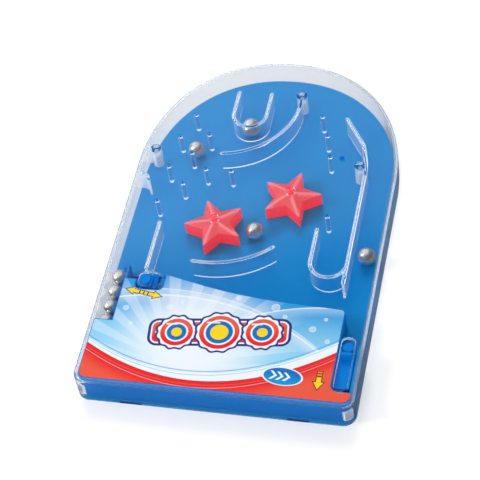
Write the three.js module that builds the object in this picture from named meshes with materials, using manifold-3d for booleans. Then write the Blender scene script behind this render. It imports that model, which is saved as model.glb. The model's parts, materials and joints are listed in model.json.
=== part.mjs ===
// Tabletop pinball game: a clear cover with pins and rails over a blue playfield, two star
// spinners, eight steel balls, a spring plunger and a slide that locks the ball store.
// Millimetres, +Z up. The origin is on the table under the middle of the case, and +Y points
// to the round end of the case, away from the player.
import * as THREE from "three";
import { mergeVertices } from "three/addons/utils/BufferGeometryUtils.js";
import Module from "manifold-3d";

const wasm = await Module();
wasm.setup();

// The case, seen from above: a flat front with round corners and a squarish arch
const caseWidth = 150;
const caseLength = 241;
const archRise = 87.5;
const archPower = 2.16;
const frontCornerRadius = 7;
const edgeRound = 2.4;

// The steel balls, which set the height inside the case
const ballDiameter = 10;
const ballHeadroom = 3.2;
const ballLift = 0.05;
const ballGap = 0.4;
const cupBallGap = 1.7;

// Walls and plates
const coverWall = 1.8;
const coverRoof = 1.8;
const coverFoot = 0.3;
const trayThickness = 3;
const traySkin = 1.8;
const trayRim = 4;
const trayRib = 1.4;

// Clearances that many pieces share
const seamGap = 0.2;
const tipGap = 0.4;
const runGap = 0.3;
const fitGap = 0.1;
const overrun = 1;

// Pins, rails and bosses under the roof of the cover
const pinRadius = 1.5;
const railThickness = 1.6;
const bossRadius = 3.2;
const cornerPostRadius = 2.8;
const leftBossInset = 7.9;
const cupSlack = 4;
const cupArm = 17.1;
const longRailRadius = 43.5;
const lowRailRadius = 52.4;
const hookRadius = 10.15;
const hookArm = 22.2;
const lugWidth = 12;
const lugReach = 1.6;
const lugThickness = 0.9;
const gateMarkRadius = 1.6;
const gateMarkDepth = 0.3;

// The raised deck at the front and its label
const deckWall = 1.4;
const deckRoof = 1.4;
const deckCorner = 3;
const deckSmallCorner = 0.8;
const bayLip = 8.2;
const deckArmWidth = 7.2;
const deckBossRadius = 3;
const labelThickness = 0.25;
const labelGap = 0.15;
const labelMargin = 0.6;
const labelFrontMargin = 1.5;

// The ball store at the left and the plunger bay at the right
const storeSlack = 0.3;
const storeSpacingGap = 0.15;
const gateBallGap = 0.36;
const bayWidth = 11.6;
const bayCorner = 3.5;

// The star spinners
const starRadius = 17.8;
const starNotchRadius = 8.3;
const starTipRound = 0.35;
const starNotchRound = 0.5;
const starSide = 8.7;
const starCrown = 1.8;
const starHubRadius = 3.4;
const starBossRadius = 2.8;
const starRightAngle = 7.5;
const starLeftAngle = 43.6;
const axleRadius = 1.5;
const axleFloor = 1;
const bearingRadius = 3;
const bearingHeight = 0.4;

// The plunger and its spring
const plungerGap = 0.4;
const plungerPlate = 1.4;
const plungerHeadroom = 1;
const plungerTravel = 8;
const plungerTailGap = 2.4;
const crosswallThickness = 3;
const strikerRadius = 2.9;
const strikerSunk = 0.8;
const strikerOverlap = 0.2;
const ridgeThickness = 2;
const ridgeHalfWidth = 2.9;
const ridgeSunk = 0.4;
const guideThickness = 1.9;
const springTurns = 9;
const springRadius = 2.6;
const springWireRadius = 0.4;
const springLevel = 8;
const springSeatThickness = 1.5;
const spigotLength = 3;
const spigotGap = 0.4;
const fingerSlotHalfWidth = 3.6;
const fingerSlotCorner = 3;

// The lock: a flat gate under a thumb button
const lockSlotLength = 13;
const lockSlotWidth = 8.8;
const buttonWidth = 6;
const buttonLength = 7;
const buttonSunk = 0.8;
const buttonFlange = 1.2;
const buttonFlangeThickness = 1.4;
const buttonDishRadius = 9;
const buttonDishDepth = 0.5;
const lockBayMargin = 1.2;
const lockBayFloorMargin = 2;
const gateThickness = 2;
const gateSunk = 0.6;
const gateBarWidth = 2.4;
const gateColumnWidth = 7;
const gateColumnTail = 3.7;
const fingerRadius = 1.9;
const fingerHeight = 8;
const fingerReach = 1.7;
const pegRadius = 1.5;
const pegHeight = 3.6;

// The screws under the tray
const screwRadius = 1.2;
const screwLength = 9.5;
const screwHeadRadius = 2.6;
const screwHeadThickness = 1.3;
const screwRecessDepth = 1.6;
const screwCrossWidth = 0.6;
const screwCrossLength = 3.2;
const screwCrossDepth = 0.7;
const screwSeatRadius = 5;

// How finely round shapes are faceted
const archSteps = 44;
const cornerSteps = 5;
const edgeSteps = 4;
const pinSides = 12;
const roundSides = 20;
const axleSides = 24;
const weldReach = 0.0005;

// Places on the playfield, as shares of half the case's width and half its length
const pinShares = [
  [-0.653, 0.611],
  [-0.727, 0.461],
  [-0.503, 0.486],
  [-0.6, 0.363],
  [-0.749, 0.266],
  [-0.457, 0.266],
  [-0.259, 0.266],
  [-0.603, 0.167],
  [-0.761, 0.048],
  [0.345, 0.653],
  [0.415, 0.53],
  [0.472, 0.397],
  [0.547, 0.032],
];
const topBossShares = [0.143, 0.785];
const rightBossShares = [0.709, 0.361];
const leftBossAlongShare = 0.378;
const wedgeShares = [
  [-0.988, 0.217],
  [-0.935, 0.216],
  [-0.896, 0.204],
  [-0.877, 0.178],
];
const cupShares = [-0.229, 0.641];
const lowRailShares = [-0.285, 0.146];
const gutterShares = [
  [-0.697, -0.077],
  [-0.697, -0.349],
];
const gutterStepShare = -0.295;
const dividerShares = [
  [0.539, 0.651],
  [0.635, 0.559],
  [0.705, 0.488],
  [0.745, 0.395],
  [0.758, 0.345],
  [0.761, 0.29],
];
const dividerEndShares = [0.761, -0.34];
const hookTopShare = -0.046;
const lugAcrossShare = 0.6;
const gateMarkShares = [0.564, 0.393];
const starRightShares = [0.226, 0.1772];
const starLeftShares = [-0.296, -0.025];
const pinBallShares = [-0.607, 0.447];
const laneBallShares = [0.872, -0.124];
const starBallAngle = -1.7;
const deckRearShares = [
  [0.7414, -0.473],
  [0.5353, -0.46],
  [0.3108, -0.433],
  [0.079, -0.388],
  [0.0275, -0.378],
];
const deckRearCornerShare = -0.484;
const deckRearStartShare = -0.482;
const deckPeakShare = -0.374;
const deckArmShare = -0.4125;
const storeRoofShare = -0.652;
const storeMouthShare = -0.354;
const deckScrewShares = [0.467, -0.747];
const crosswallShare = -0.697;
const guideFrontShare = -0.664;
const fingerSlotRearShare = -0.639;
const lockSlotAlongShare = -0.413;
const gateBarShare = -0.3205;
const ribAcrossShares = [-0.62, 0.01, 0.62];
const ribAlongShares = [-0.62, -0.3, 0.1, 0.3, 0.58];

// Levels and edges that follow from these
const halfWidth = caseWidth / 2;
const halfLength = caseLength / 2;
const ballRadius = ballDiameter / 2;
const roofUnder = trayThickness + ballDiameter + ballHeadroom;
const caseHeight = roofUnder + coverRoof;
const archStart = halfLength - archRise;
const rootLevel = roofUnder + coverRoof / 2;
const tipLevel = trayThickness + tipGap;
const wallInner = halfWidth - coverWall;
const deckSide = coverWall + runGap;
const deckTop = roofUnder - labelGap - labelThickness;
const deckRoofUnder = deckTop - deckRoof;
const deckRight = wallInner - bayWidth;
const storeWallLeft = -wallInner + ballDiameter + storeSlack;
const storeCentre = (storeWallLeft - wallInner) / 2;
const screwHole = screwRadius + runGap;
const deckFront = -halfLength + deckSide;
const bayRoof = deckFront + bayLip;

// Colours and finishes
const blueMoulding = new THREE.MeshStandardMaterial({ color: 0x1273c4, roughness: 0.42 });
const redMoulding = new THREE.MeshStandardMaterial({ color: 0xe8232f, roughness: 0.38 });
const steel = new THREE.MeshStandardMaterial({ color: 0xd8dadc, roughness: 0.12, metalness: 1 });
const wire = new THREE.MeshStandardMaterial({ color: 0xb4b7ba, roughness: 0.3, metalness: 1 });
const print = new THREE.MeshStandardMaterial({ color: 0xf04a3c, roughness: 0.3 });
const clear = new THREE.MeshStandardMaterial({
  color: 0xf2f8fc,
  roughness: 0.06,
  transparent: true,
  opacity: 0.3,
});

// A closed triangle geometry as a solid that can be cut and joined
function solidOf(geometry) {
  const loose = geometry.index ? geometry.toNonIndexed() : geometry;
  const bare = new THREE.BufferGeometry();
  bare.setAttribute("position", loose.getAttribute("position"));
  const merged = mergeVertices(bare, weldReach);
  return solidFrom(merged.attributes.position.array, merged.index.array);
}

function solidFrom(corners, faces) {
  const vertProperties = new Float32Array(corners);
  const triVerts = new Uint32Array(faces);
  return new wasm.Manifold(new wasm.Mesh({ numProp: 3, vertProperties, triVerts }));
}

function join(pieces) {
  return pieces.reduce((whole, piece) => whole.add(piece));
}

function meshOf(name, solid, material) {
  const made = solid.getMesh();
  const geometry = new THREE.BufferGeometry();
  const corners = new THREE.BufferAttribute(new Float32Array(made.vertProperties), 3);
  geometry.setAttribute("position", corners);
  geometry.setIndex(new THREE.BufferAttribute(new Uint32Array(made.triVerts), 1));
  geometry.computeVertexNormals();
  const mesh = new THREE.Mesh(geometry, material);
  mesh.name = name;
  return mesh;
}

// A point of the playfield from its shares
function spot([across, along]) {
  return new THREE.Vector2(across * halfWidth, along * halfLength);
}

// A plan raised between two levels
function prism(plan, low, high) {
  const settings = { depth: high - low, bevelEnabled: false };
  const geometry = new THREE.ExtrudeGeometry(new THREE.Shape(plan), settings);
  geometry.translate(0, 0, low);
  return solidOf(geometry);
}

// A box from its two ends along each axis
function block([left, right], [front, back], [low, high]) {
  const geometry = new THREE.BoxGeometry(right - left, back - front, high - low);
  geometry.translate((left + right) / 2, (front + back) / 2, (low + high) / 2);
  return solidOf(geometry);
}

// An upright round bar
function post(centre, radius, low, high, sides = roundSides) {
  const geometry = new THREE.CylinderGeometry(radius, radius, high - low, sides);
  geometry.rotateX(Math.PI / 2);
  geometry.translate(centre.x, centre.y, (low + high) / 2);
  return solidOf(geometry);
}

// A round bar that lies along Y
function spigot(across, level, radius, [front, back]) {
  const geometry = new THREE.CylinderGeometry(radius, radius, back - front, pinSides);
  geometry.translate(across, (front + back) / 2, level);
  return solidOf(geometry);
}

// A solid whose skin passes through rings of equally many points, each at its own level
function loft(rings) {
  const count = rings[0].plan.length;
  const corners = rings.flatMap(({ plan, level }) => plan.flatMap(({ x, y }) => [x, y, level]));
  const faces = [];
  for (let ring = 1; ring < rings.length; ring += 1) {
    for (let i = 0; i < count; i += 1) {
      const below = (ring - 1) * count + i;
      const nextBelow = (ring - 1) * count + ((i + 1) % count);
      faces.push(below, nextBelow, nextBelow + count);
      faces.push(below, nextBelow + count, below + count);
    }
  }
  const topStart = (rings.length - 1) * count;
  for (const [a, b, c] of THREE.ShapeUtils.triangulateShape(rings[0].plan, [])) {
    faces.push(c, b, a);
  }
  for (const [a, b, c] of THREE.ShapeUtils.triangulateShape(rings.at(-1).plan, [])) {
    faces.push(topStart + a, topStart + b, topStart + c);
  }
  return solidFrom(corners, faces);
}

// The plan of a strip of even width along a line of points
function stripPlan(line, width) {
  const shifts = line.map((point, i) => {
    const before = line[Math.max(i - 1, 0)];
    const after = line[Math.min(i + 1, line.length - 1)];
    const along = after.clone().sub(before).normalize();
    return new THREE.Vector2(along.y, -along.x).multiplyScalar(width / 2);
  });
  const right = line.map((point, i) => point.clone().add(shifts[i]));
  const left = line.map((point, i) => point.clone().sub(shifts[i]));
  return [...right, ...left.reverse()];
}

// A plan from its corners, each a place and the radius that it is rounded with
function roundedPlan(corners) {
  return corners.flatMap(([x, y, radius], i) => {
    const corner = new THREE.Vector2(x, y);
    if (!radius) return [corner];
    const [beforeX, beforeY] = corners.at(i - 1);
    const [afterX, afterY] = corners[(i + 1) % corners.length];
    const back = new THREE.Vector2(beforeX, beforeY).sub(corner).normalize();
    const ahead = new THREE.Vector2(afterX, afterY).sub(corner).normalize();
    const half = Math.acos(THREE.MathUtils.clamp(back.dot(ahead), -1, 1)) / 2;
    const middle = back.clone().add(ahead).normalize();
    const centre = corner.clone().addScaledVector(middle, radius / Math.sin(half));
    const first = corner.clone().addScaledVector(back, radius / Math.tan(half)).sub(centre);
    const turn = Math.sign(ahead.cross(back)) * (Math.PI - 2 * half);
    return Array.from({ length: cornerSteps + 1 }, (_, step) =>
      first.clone().rotateAround(new THREE.Vector2(), (turn * step) / cornerSteps).add(centre),
    );
  });
}

function roundedBox([left, right], [front, back], radius) {
  return roundedPlan([
    [left, front, radius],
    [right, front, radius],
    [right, back, radius],
    [left, back, radius],
  ]);
}

// The outline of the case, a distance inside its outer face
function caseOutline(inset) {
  const arch = Array.from({ length: archSteps + 1 }, (_, i) => {
    const turn = (Math.PI * i) / archSteps;
    const side = Math.sign(Math.cos(turn));
    const across = side * Math.abs(Math.cos(turn)) ** (2 / archPower);
    const along = Math.abs(Math.sin(turn)) ** (2 / archPower);
    return new THREE.Vector2(
      (halfWidth - inset) * across,
      archStart + (archRise - inset) * along,
    );
  });
  const radius = Math.max(frontCornerRadius - inset, deckSmallCorner);
  const front = -halfLength + inset;
  const reach = halfWidth - inset;
  const corners = [arch[0], arch.at(-1), new THREE.Vector2(-reach, front)];
  corners.push(new THREE.Vector2(reach, front));
  const rounded = roundedPlan(corners.map(({ x, y }, i) => [x, y, i < 2 ? 0 : radius]));
  return [...arch, ...rounded.slice(2)];
}

// The blue tray: the playfield plate with shallow pockets below, the sockets of the star
// axles, the groove of the lock gate, and the plunger's guide and spring seat
const trayInset = coverWall + seamGap;
const trayUnderside = trayThickness - traySkin;
const buried = trayThickness - traySkin / 2;
const starRight = spot(starRightShares);
const starLeft = spot(starLeftShares);
const leftBoss = new THREE.Vector2(-halfWidth + leftBossInset, leftBossAlongShare * halfLength);
const coverScrews = [spot(topBossShares), spot(rightBossShares), leftBoss];
const deckScrewRight = spot(deckScrewShares);
const deckScrewLeft = new THREE.Vector2(-deckScrewRight.x, deckScrewRight.y);
const screwPlaces = [...coverScrews, deckScrewLeft, deckScrewRight];
const seatPlaces = [...screwPlaces, starLeft, starRight];

const guideLeft = wallInner - runGap - guideThickness;
const guideRight = wallInner - runGap;
const guideTop = deckRoofUnder - plungerHeadroom;
const crosswallBack = crosswallShare * halfLength;
const crosswallFront = crosswallBack - crosswallThickness;
const skirtInner = -halfLength + deckSide + deckWall;
const plungerTail = skirtInner + plungerTravel + plungerTailGap;
const plungerLeft = deckRight + plungerGap;
const plungerRight = guideLeft - plungerGap;
const plungerMiddle = (plungerLeft + plungerRight) / 2;
const plateLow = guideTop - plungerPlate;
const springSeatFront = -halfLength + frontCornerRadius + overrun;
const springSeatBack = springSeatFront + springSeatThickness;
const spigotRadius = springRadius - springWireRadius - spigotGap;

const lockBayLeft = storeWallLeft + deckArmWidth;
const lockBayRight = lockBayLeft + lockSlotLength + 2 * lockBayMargin;
const lockSlot = new THREE.Vector2(
  (lockBayLeft + lockBayRight) / 2,
  lockSlotAlongShare * halfLength,
);
const lockTravel = lockSlotLength - buttonWidth - 2 * runGap;
const buttonCentre = lockSlot.x - lockTravel / 2;
const gateTop = trayThickness - gateSunk + gateThickness;
const gateLow = trayThickness - gateSunk;
const gateBar = gateBarShare * halfLength;
const gateBarSpan = [gateBar - gateBarWidth / 2, gateBar + gateBarWidth / 2];
const gateColumnFront = lockSlot.y - gateColumnTail;
const gateColumnSpan = [buttonCentre - gateColumnWidth / 2, buttonCentre + gateColumnWidth / 2];
const fingerPlace = new THREE.Vector2(storeWallLeft - fingerReach, gateBar);
const gateTip = fingerPlace.x - fingerRadius;

const pocketRibs = [
  ...ribAcrossShares.map((share) =>
    block(
      [share * halfWidth - trayRib / 2, share * halfWidth + trayRib / 2],
      [-halfLength, halfLength],
      [-2 * overrun, trayThickness],
    ),
  ),
  ...ribAlongShares.map((share) =>
    block(
      [-halfWidth, halfWidth],
      [share * halfLength - trayRib / 2, share * halfLength + trayRib / 2],
      [-2 * overrun, trayThickness],
    ),
  ),
];
const seats = seatPlaces.map((place) =>
  post(place, screwSeatRadius, -2 * overrun, trayThickness),
);
const pockets = prism(caseOutline(trayInset + trayRim), -overrun, trayUnderside)
  .subtract(join(pocketRibs))
  .subtract(join(seats));

const screwCuts = screwPlaces.flatMap((place) => [
  post(place, screwHeadRadius + runGap, -overrun, screwRecessDepth),
  post(place, screwHole, -overrun, trayThickness + overrun),
]);
const bearings = [starLeft, starRight].map((place) =>
  post(place, bearingRadius, buried, trayThickness + bearingHeight),
);
const axleSockets = [starLeft, starRight].map((place) =>
  post(place, axleRadius + fitGap, axleFloor, trayThickness + bearingHeight + overrun, axleSides),
);
const gateGroove = join([
  block(
    [gateTip - runGap, gateColumnSpan[1] + lockTravel + runGap],
    [gateBarSpan[0] - runGap, gateBarSpan[1] + runGap],
    [gateLow - fitGap, trayThickness + overrun],
  ),
  block(
    [gateColumnSpan[0] - runGap, gateColumnSpan[1] + lockTravel + runGap],
    [gateColumnFront - runGap, gateBar],
    [gateLow - fitGap, trayThickness + overrun],
  ),
]);
const lugSides = [-lugAcrossShare * halfWidth, lugAcrossShare * halfWidth];
const lugRebates = lugSides.map((middle) =>
  block(
    [middle - lugWidth / 2 - runGap, middle + lugWidth / 2 + runGap],
    [-halfLength, -halfLength + coverWall + lugReach + runGap],
    [-overrun, coverFoot + lugThickness + runGap],
  ),
);
const plungerGuide = block(
  [guideLeft, guideRight],
  [springSeatFront, guideFrontShare * halfLength],
  [buried, guideTop],
);
const springSeat = block(
  [plungerLeft, guideLeft + guideThickness / 2],
  [springSeatFront, springSeatBack],
  [buried, plateLow - runGap],
);
const seatSpigot = spigot(plungerMiddle, springLevel, spigotRadius, [
  springSeatBack - springSeatThickness / 2,
  springSeatBack + spigotLength,
]);
const traySolid = prism(caseOutline(trayInset), 0, trayThickness)
  .subtract(pockets)
  .add(join([...bearings, plungerGuide, springSeat, seatSpigot]))
  .subtract(join([...screwCuts, ...axleSockets, ...lugRebates, gateGroove]));
const baseTray = meshOf("base_tray", traySolid, blueMoulding);

// The clear cover: roof and side wall in one, with everything that hangs from the roof
const roundedEdge = Array.from({ length: edgeSteps + 1 }, (_, i) => {
  const turn = (Math.PI / 2) * (i / edgeSteps);
  return {
    plan: caseOutline(edgeRound * (1 - Math.cos(turn))),
    level: caseHeight - edgeRound * (1 - Math.sin(turn)),
  };
});
const coverShell = loft([{ plan: caseOutline(0), level: coverFoot }, ...roundedEdge]).subtract(
  prism(caseOutline(coverWall), coverFoot - overrun, roofUnder),
);

function arcLine(centre, radius, fromDegrees, toDegrees, steps) {
  const from = THREE.MathUtils.degToRad(fromDegrees);
  const to = THREE.MathUtils.degToRad(toDegrees);
  return new THREE.ArcCurve(centre.x, centre.y, radius, from, to, from > to).getPoints(steps);
}

function rail(line, low = tipLevel) {
  return prism(stripPlan(line, railThickness), low, rootLevel);
}

const pins = pinShares.map((shares) => post(spot(shares), pinRadius, tipLevel, rootLevel, pinSides));
const coverBosses = coverScrews.map((place) => post(place, bossRadius, trayThickness, rootLevel));
const screwTop = screwRecessDepth - fitGap + screwLength;
const bossHoles = coverScrews.map((place) =>
  post(place, screwRadius + fitGap, trayThickness - overrun, screwTop + overrun, pinSides),
);
const leftWeb = block(
  [-halfWidth + coverWall / 2, leftBoss.x],
  [leftBoss.y - railThickness / 2, leftBoss.y + railThickness / 2],
  [tipLevel, rootLevel],
);

const cupRadius = ballRadius + cupSlack + railThickness / 2;
const cup = spot(cupShares);
const cupArmEnd = cup.y + cupArm;
const cupLine = [
  new THREE.Vector2(cup.x - cupRadius, cupArmEnd),
  ...arcLine(cup, cupRadius, 180, 360, 16),
  new THREE.Vector2(cup.x + cupRadius, cupArmEnd),
];

const longRailEndAngle = 8;
const longRailCentre = spot(topBossShares).sub(
  new THREE.Vector2(longRailRadius, 0).rotateAround(
    new THREE.Vector2(),
    THREE.MathUtils.degToRad(longRailEndAngle),
  ),
);
const longRailLine = arcLine(longRailCentre, longRailRadius, -84, longRailEndAngle, 20);
const lowRailLine = arcLine(spot(lowRailShares), lowRailRadius, -97, -46.5, 12);

const [gutterTop, gutterEnd] = gutterShares.map(spot);
const gutterStep = new THREE.Vector2(gutterTop.x, gutterStepShare * halfLength);
const gutterRails = [
  rail([gutterTop, gutterStep]),
  rail([gutterTop, gutterEnd], gateTop + 2 * runGap),
];

const dividerEnd = spot(dividerEndShares);
const dividerLine = [...new THREE.SplineCurve(dividerShares.map(spot)).getPoints(20), dividerEnd];
const hookTop = hookTopShare * halfLength;
const hookCentre = new THREE.Vector2(dividerEnd.x - hookRadius, hookTop - hookArm);
const hookLine = [
  new THREE.Vector2(hookCentre.x - hookRadius, hookTop),
  ...arcLine(hookCentre, hookRadius, 180, 360, 14),
];
const wedge = rail(wedgeShares.map(spot));

const starBosses = [starLeft, starRight].map((place) => {
  const starTop = trayThickness + bearingHeight + fitGap + starSide + starCrown;
  return post(place, starBossRadius, starTop + runGap, rootLevel);
});
const axleTop = roofUnder - runGap;
const starBossSockets = [starLeft, starRight].map((place) =>
  post(place, axleRadius + fitGap, trayThickness, axleTop + fitGap, axleSides),
);
const lugs = lugSides.map((middle) =>
  block(
    [middle - lugWidth / 2, middle + lugWidth / 2],
    [-halfLength + coverWall / 2, -halfLength + coverWall + lugReach],
    [coverFoot, coverFoot + lugThickness],
  ),
);

const cornerPostInset = coverWall + runGap + cornerPostRadius;
const cornerPostPlaces = [-1, 1].map(
  (side) => new THREE.Vector2(side * (halfWidth - cornerPostInset), cornerPostInset - halfLength),
);
const cornerPostTop = plateLow - runGap;
const cornerPosts = cornerPostPlaces.map((place) =>
  post(place, cornerPostRadius, tipLevel, cornerPostTop),
);

const fingerSlot = prism(
  roundedBox(
    [plungerMiddle - fingerSlotHalfWidth, plungerMiddle + fingerSlotHalfWidth],
    [bayRoof, fingerSlotRearShare * halfLength],
    fingerSlotCorner,
  ),
  roofUnder - overrun,
  caseHeight + overrun,
);
const lockOpening = prism(
  roundedBox(
    [lockSlot.x - lockSlotLength / 2, lockSlot.x + lockSlotLength / 2],
    [lockSlot.y - lockSlotWidth / 2, lockSlot.y + lockSlotWidth / 2],
    lockSlotWidth / 2 - fitGap,
  ),
  roofUnder - overrun,
  caseHeight + overrun,
);
const gateMark = post(
  spot(gateMarkShares),
  gateMarkRadius,
  caseHeight - gateMarkDepth,
  caseHeight + overrun,
);
const coverSolid = coverShell
  .add(join([...pins, ...coverBosses, leftWeb, ...gutterRails, ...starBosses, ...lugs]))
  .add(join(cornerPosts))
  .add(join([rail(cupLine), rail(longRailLine), rail(lowRailLine)]))
  .add(join([rail(dividerLine), rail(hookLine), wedge]))
  .subtract(join([...bossHoles, ...starBossSockets, fingerSlot, lockOpening, gateMark]));
const clearCover = meshOf("clear_cover", coverSolid, clear);

// The front deck: a hollow block that carries the label, roofs the end of the ball store and
// the tail of the plunger, and walls off the store
const deckReach = halfWidth - deckSide;
const storeRoof = storeRoofShare * halfLength;
const lockBayFloor = lockSlot.y - lockSlotWidth / 2 - lockBayFloorMargin;
const armEnd = deckArmShare * halfLength;
const deckPeak = deckPeakShare * halfLength;

function insetRadius(radius, inset) {
  return Math.max(radius - inset, fitGap);
}

// The rear edge of the deck from right to left, with the bay of the lock button
function rearCorners(inset) {
  const line = deckRearShares.map(([across, along]) => {
    const reach = THREE.MathUtils.lerp(lockBayRight, deckRight, across);
    return new THREE.Vector2(reach, along * halfLength);
  });
  line.unshift(new THREE.Vector2(deckRight - deckCorner - fitGap, deckRearStartShare * halfLength));
  const curve = new THREE.SplineCurve(line).getPoints(12);
  return [
    [deckRight - inset, deckRearCornerShare * halfLength - inset, insetRadius(deckCorner, inset)],
    ...curve.map(({ x, y }) => [x, y - inset, 0]),
    [lockBayRight + inset, deckPeak - inset, insetRadius(deckSmallCorner, inset)],
    [lockBayRight + inset, lockBayFloor - inset, deckCorner + inset],
    [lockBayLeft - inset, lockBayFloor - inset, deckCorner + inset],
    [lockBayLeft - inset, armEnd - inset, insetRadius(deckSmallCorner, inset)],
    [storeWallLeft + inset, armEnd - inset, 0],
  ];
}

function bodyPlan(inset) {
  return roundedPlan([
    [storeWallLeft + inset, deckFront + inset, 0],
    [deckRight - inset, deckFront + inset, 0],
    ...rearCorners(inset),
  ]);
}

function roofPlan(inset, frontInset) {
  const frontRadius = insetRadius(frontCornerRadius - deckSide, inset);
  return roundedPlan([
    [-deckReach + inset, deckFront + frontInset, frontRadius],
    [deckReach - inset, deckFront + frontInset, frontRadius],
    [deckReach - inset, bayRoof - inset, insetRadius(deckSmallCorner, inset)],
    [deckRight - inset, bayRoof - inset, bayCorner + inset],
    ...rearCorners(inset),
    [storeWallLeft + inset, storeRoof - inset, 0],
    [-deckReach + inset, storeRoof - inset, insetRadius(deckSmallCorner, inset)],
  ]);
}

const deckBody = prism(bodyPlan(0), trayThickness, deckTop).subtract(
  prism(bodyPlan(deckWall), trayThickness - overrun, deckRoofUnder),
);
const deckLid = prism(roofPlan(0, 0), deckRoofUnder, deckTop);
const skirtRing = prism(caseOutline(deckSide), trayThickness, deckTop).subtract(
  prism(caseOutline(deckSide + deckWall), trayThickness - overrun, deckTop + overrun),
);
const skirt = skirtRing.intersect(
  block(
    [-halfWidth, halfWidth],
    [-halfLength, -halfLength + frontCornerRadius],
    [0, caseHeight],
  ),
);
const storeWallMiddle = storeWallLeft + deckWall / 2;
const storeMouth = storeMouthShare * halfLength - deckWall / 2;
const storeWall = join([
  block(
    [storeWallLeft, storeWallLeft + deckWall],
    [armEnd - deckWall, storeMouth],
    [trayThickness, deckTop],
  ),
  post(
    new THREE.Vector2(storeWallMiddle, storeMouth),
    deckWall / 2,
    trayThickness,
    deckTop,
    pinSides,
  ),
]);
const deckBosses = [deckScrewLeft, deckScrewRight].map((place) =>
  post(place, deckBossRadius, trayThickness, deckTop - deckRoof / 2),
);
const deckBossHoles = [deckScrewLeft, deckScrewRight].map((place) =>
  post(place, screwRadius + fitGap, trayThickness - overrun, screwTop + overrun, pinSides),
);
const deckReliefs = cornerPostPlaces.map((place) =>
  post(place, cornerPostRadius + runGap, trayThickness - overrun, cornerPostTop + runGap),
);
const deckSolid = join([deckBody, deckLid, skirt, storeWall, ...deckBosses]).subtract(
  join([...deckBossHoles, ...deckReliefs]),
);
const frontDeck = meshOf("front_deck", deckSolid, blueMoulding);

// The printed sheet stuck on the deck
const labelSolid = prism(
  roofPlan(labelMargin, labelFrontMargin),
  deckTop,
  deckTop + labelThickness,
);
const labelSheet = meshOf("label_sheet", labelSolid, print);

// The star spinners, each made about its own axle: straight sides and five ridges that rise
// to the hub
const starBottom = trayThickness + bearingHeight + fitGap;
const starPoints = Array.from({ length: 10 }, (_, i) => {
  const turn = (Math.PI * i) / 5;
  const radius = i % 2 ? starNotchRadius : starRadius;
  return [radius * Math.cos(turn), radius * Math.sin(turn), i % 2 ? starNotchRound : starTipRound];
});
const starPlan = roundedPlan(starPoints);
const starSolid = loft([
  { plan: starPlan, level: starBottom },
  { plan: starPlan, level: starBottom + starSide },
  {
    plan: starPlan.map((point) => point.clone().setLength(starHubRadius)),
    level: starBottom + starSide + starCrown,
  },
]).subtract(
  post(new THREE.Vector2(), axleRadius + runGap, 0, caseHeight, axleSides),
);
const axleSolid = post(new THREE.Vector2(), axleRadius, axleFloor + fitGap, axleTop, axleSides);

function standAt(mesh, place, turnDegrees = 0) {
  mesh.position.set(place.x, place.y, 0);
  mesh.rotation.z = THREE.MathUtils.degToRad(turnDegrees);
  return mesh;
}

const spinners = new THREE.Group();
spinners.add(
  standAt(meshOf("star_left", starSolid, redMoulding), starLeft, starLeftAngle),
  standAt(meshOf("star_right", starSolid, redMoulding), starRight, starRightAngle),
  standAt(meshOf("star_axle_left", axleSolid, clear), starLeft),
  standAt(meshOf("star_axle_right", axleSolid, clear), starRight),
);

// The balls: one in the cup, one among the pins, one by the left star, one in the shooting
// lane, and the rest in a row in the store
const ballShape = new THREE.SphereGeometry(ballRadius, roundSides, roundSides / 2);
ballShape.rotateX(Math.PI / 2);
const ballSolid = solidOf(ballShape);
const ballLevel = trayThickness + ballLift + ballRadius;
const cupBall = new THREE.Vector2(cup.x, cup.y - cupRadius + railThickness / 2 + ballRadius);
cupBall.y += cupBallGap;
const starReach = Math.max(...starPlan.map((point) => point.length()));
const starBall = new THREE.Vector2(starReach + ballRadius + ballGap, 0)
  .rotateAround(new THREE.Vector2(), THREE.MathUtils.degToRad(starBallAngle))
  .add(starLeft);
const ballPlaces = [
  ["ball_cup", cupBall],
  ["ball_pins", spot(pinBallShares)],
  ["ball_star", starBall],
  ["ball_lane", spot(laneBallShares)],
];
const gateBallReach = Math.sqrt(
  (fingerRadius + ballRadius + gateBallGap) ** 2 - (fingerPlace.x - storeCentre) ** 2,
);
for (let i = 0; i < 4; i += 1) {
  const back = gateBar - gateBallReach - i * (ballDiameter + storeSpacingGap);
  ballPlaces.push([`ball_store_${i + 1}`, new THREE.Vector2(storeCentre, back)]);
}
const balls = new THREE.Group();
for (const [name, place] of ballPlaces) {
  const ball = standAt(meshOf(name, ballSolid, steel), place);
  ball.position.z = ballLevel;
  balls.add(ball);
}

// The plunger: a flat slide with a round striker in front and a finger ridge on top
const strikerPlace = new THREE.Vector2(plungerMiddle, crosswallBack + strikerRadius);
strikerPlace.y -= strikerOverlap;
const plungerSolid = join([
  block([plungerLeft, plungerRight], [plungerTail, strikerPlace.y], [plateLow, guideTop]),
  block(
    [plungerLeft, plungerRight],
    [crosswallFront, crosswallBack],
    [trayThickness + runGap, guideTop],
  ),
  post(strikerPlace, strikerRadius, trayThickness + 2 * runGap, roofUnder - strikerSunk),
  block(
    [plungerMiddle - ridgeHalfWidth, plungerMiddle + ridgeHalfWidth],
    [crosswallFront - ridgeThickness / 2, crosswallFront + ridgeThickness / 2],
    [plateLow, caseHeight - ridgeSunk],
  ),
  spigot(plungerMiddle, springLevel, spigotRadius, [
    crosswallFront - spigotLength,
    crosswallFront + crosswallThickness / 2,
  ]),
]);
const plunger = meshOf("plunger", plungerSolid, blueMoulding);

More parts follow.
